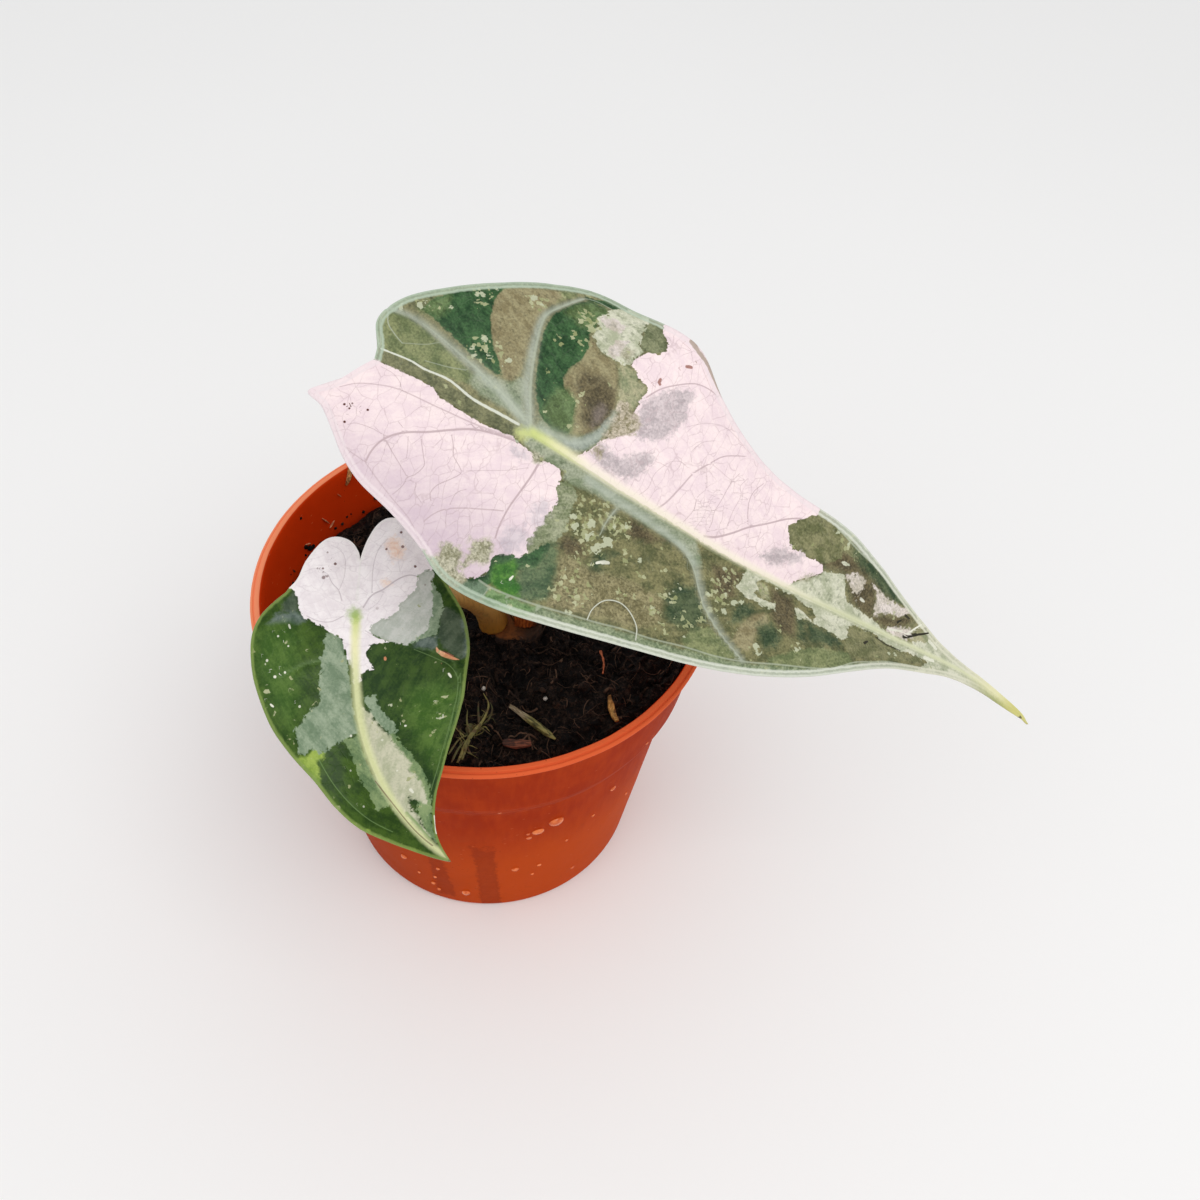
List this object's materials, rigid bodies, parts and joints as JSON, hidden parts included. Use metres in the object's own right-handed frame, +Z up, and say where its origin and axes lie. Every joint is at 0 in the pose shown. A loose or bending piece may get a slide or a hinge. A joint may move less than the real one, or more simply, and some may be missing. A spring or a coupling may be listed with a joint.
{
  "type": "potted alocasia plant",
  "caption": "Young variegated alocasia: two peltate arrow-shaped leaves on stems, rooted in dark potting mix in a small round nursery pot with a collar.",
  "frame": {"origin": "on the pot's axis, at its underside, on the surface the pot stands on", "axes": "+Z up along the pot's axis; +X towards the side the large leaf's drip tip points to; -Y towards the viewer"},
  "size_m": [0.1524, 0.1046, 0.1407],
  "materials": {
    "pot": "terracotta-orange injection-moulded plastic, satin, with water marks and drops",
    "soil": "moist dark peat and fibre potting mix, crumbly and matt",
    "rootstock": "brown ringed stem, dull and slightly fibrous",
    "blade": "leathery leaf, glossy on dark green, satin on pale pink and grey-green sectors, pale veins",
    "stem": "smooth fleshy yellow-tan leaf stem, satin",
    "sheath": "dry papery orange-brown sheath with fine ribs",
    "straw": "weathered olive-tan stalk with fibres along it",
    "bark": "red-brown bark, rough",
    "husk": "tan dry husk, thin and fibrous",
    "grass": "green-brown seedling blades, limp"
  },
  "bodies": {
    "root": {"pot": "pot", "soil": "soil", "rootstock": "rootstock", "blade_large": "blade", "blade_small": "blade", "stem_large": "stem", "stem_small": "stem", "dry_sheath": "sheath", "straw_stalk": "straw", "twig": "bark", "bark_chip": "bark", "husk": "husk", "grass_tuft": "grass"}
  },
  "joints": []
}
